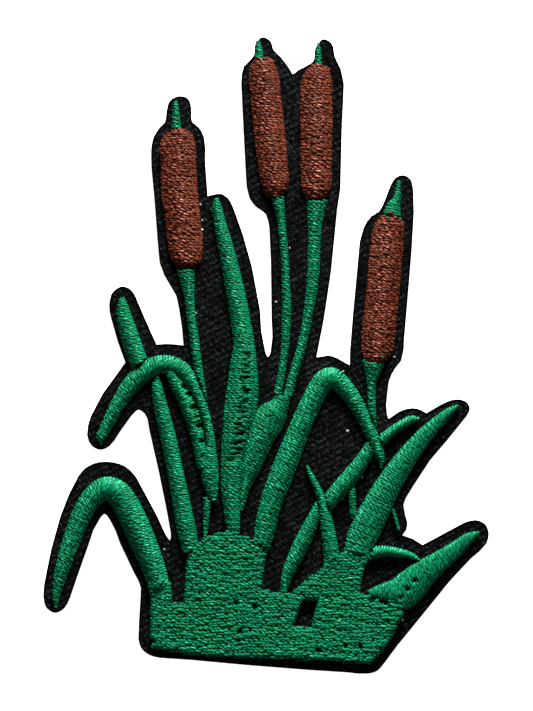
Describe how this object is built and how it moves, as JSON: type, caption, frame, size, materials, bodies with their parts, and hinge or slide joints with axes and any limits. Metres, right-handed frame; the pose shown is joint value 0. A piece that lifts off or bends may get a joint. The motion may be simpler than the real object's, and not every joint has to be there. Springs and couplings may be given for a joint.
{
  "type": "embroidered cattail patch",
  "caption": "Flat embroidered patch in the shape of a cattail clump: brown heads, green stalks and leaves over black twill with a cut edge.",
  "frame": {"origin": "middle of the patch's outline box, on the back face that it rests on", "axes": "+X to the right, +Y up along the stalks, +Z out of the stitched face"},
  "size_m": [0.0714, 0.102, 0.0025],
  "materials": {
    "heat_seal_film": "satin",
    "black_twill": "matt twill weave",
    "green_thread": "lustrous embroidery thread",
    "brown_thread": "lustrous embroidery thread"
  },
  "bodies": {
    "root": {"heat_seal_film": "heat_seal_film", "black_twill": "black_twill", "ground_mound": "green_thread", "head_1": "brown_thread", "head_2": "brown_thread", "head_3": "brown_thread", "head_4": "brown_thread", "tip_1": "green_thread", "tip_2": "green_thread", "tip_3": "green_thread", "tip_4": "green_thread", "stalk_1": "green_thread", "stalk_2": "green_thread", "stalk_3": "green_thread", "stalk_4": "green_thread", "stalk_foot": "green_thread", "leaf_left_tip": "green_thread", "leaf_left_arch": "green_thread", "leaf_left_strand": "green_thread", "leaf_left_blade": "green_thread", "leaf_far_left": "green_thread", "leaf_thin_left": "green_thread", "leaf_tall": "green_thread", "leaf_centre_arch": "green_thread", "leaf_curved_tip": "green_thread", "leaf_curved_middle": "green_thread", "leaf_curved_base": "green_thread", "leaf_short": "green_thread", "leaf_long_right": "green_thread", "leaf_small_arch": "green_thread", "leaf_low_right": "green_thread", "sliver_inner": "green_thread", "sliver_outer": "green_thread"}
  },
  "joints": []
}
